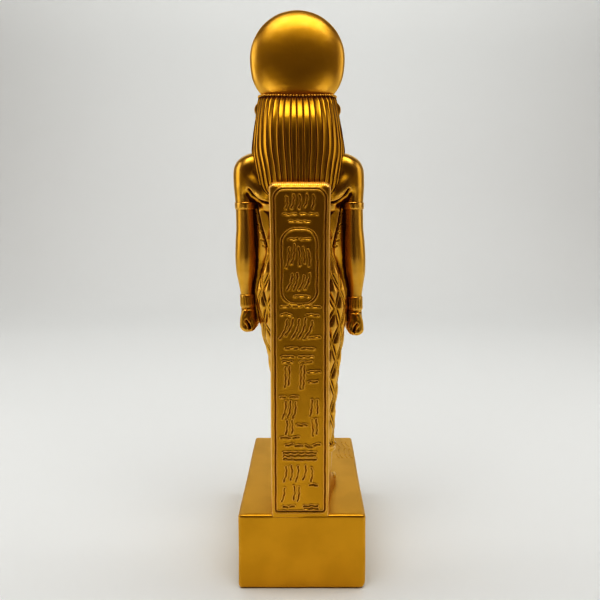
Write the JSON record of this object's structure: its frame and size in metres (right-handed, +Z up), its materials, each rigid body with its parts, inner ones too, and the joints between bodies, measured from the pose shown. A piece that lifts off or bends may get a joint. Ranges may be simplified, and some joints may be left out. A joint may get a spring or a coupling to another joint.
{
  "type": "sekhmet statue",
  "caption": "Gold souvenir casting of a lioness-headed goddess with a sun disc, striding against an inscribed back pillar on a rectangular plinth.",
  "frame": {"origin": "centre of the plinth's flat underside", "axes": "+Z up to the sun disc; the figure faces -Y, so +Y is the side of the back pillar; +X is towards the figure's left hand"},
  "size_m": [0.0695, 0.1056, 0.2971],
  "materials": {
    "gold_paint": "metallic gold paint over cast resin, with a thin brown wash left in the hollows"
  },
  "bodies": {
    "root": {"statue": "gold_paint"}
  },
  "joints": []
}
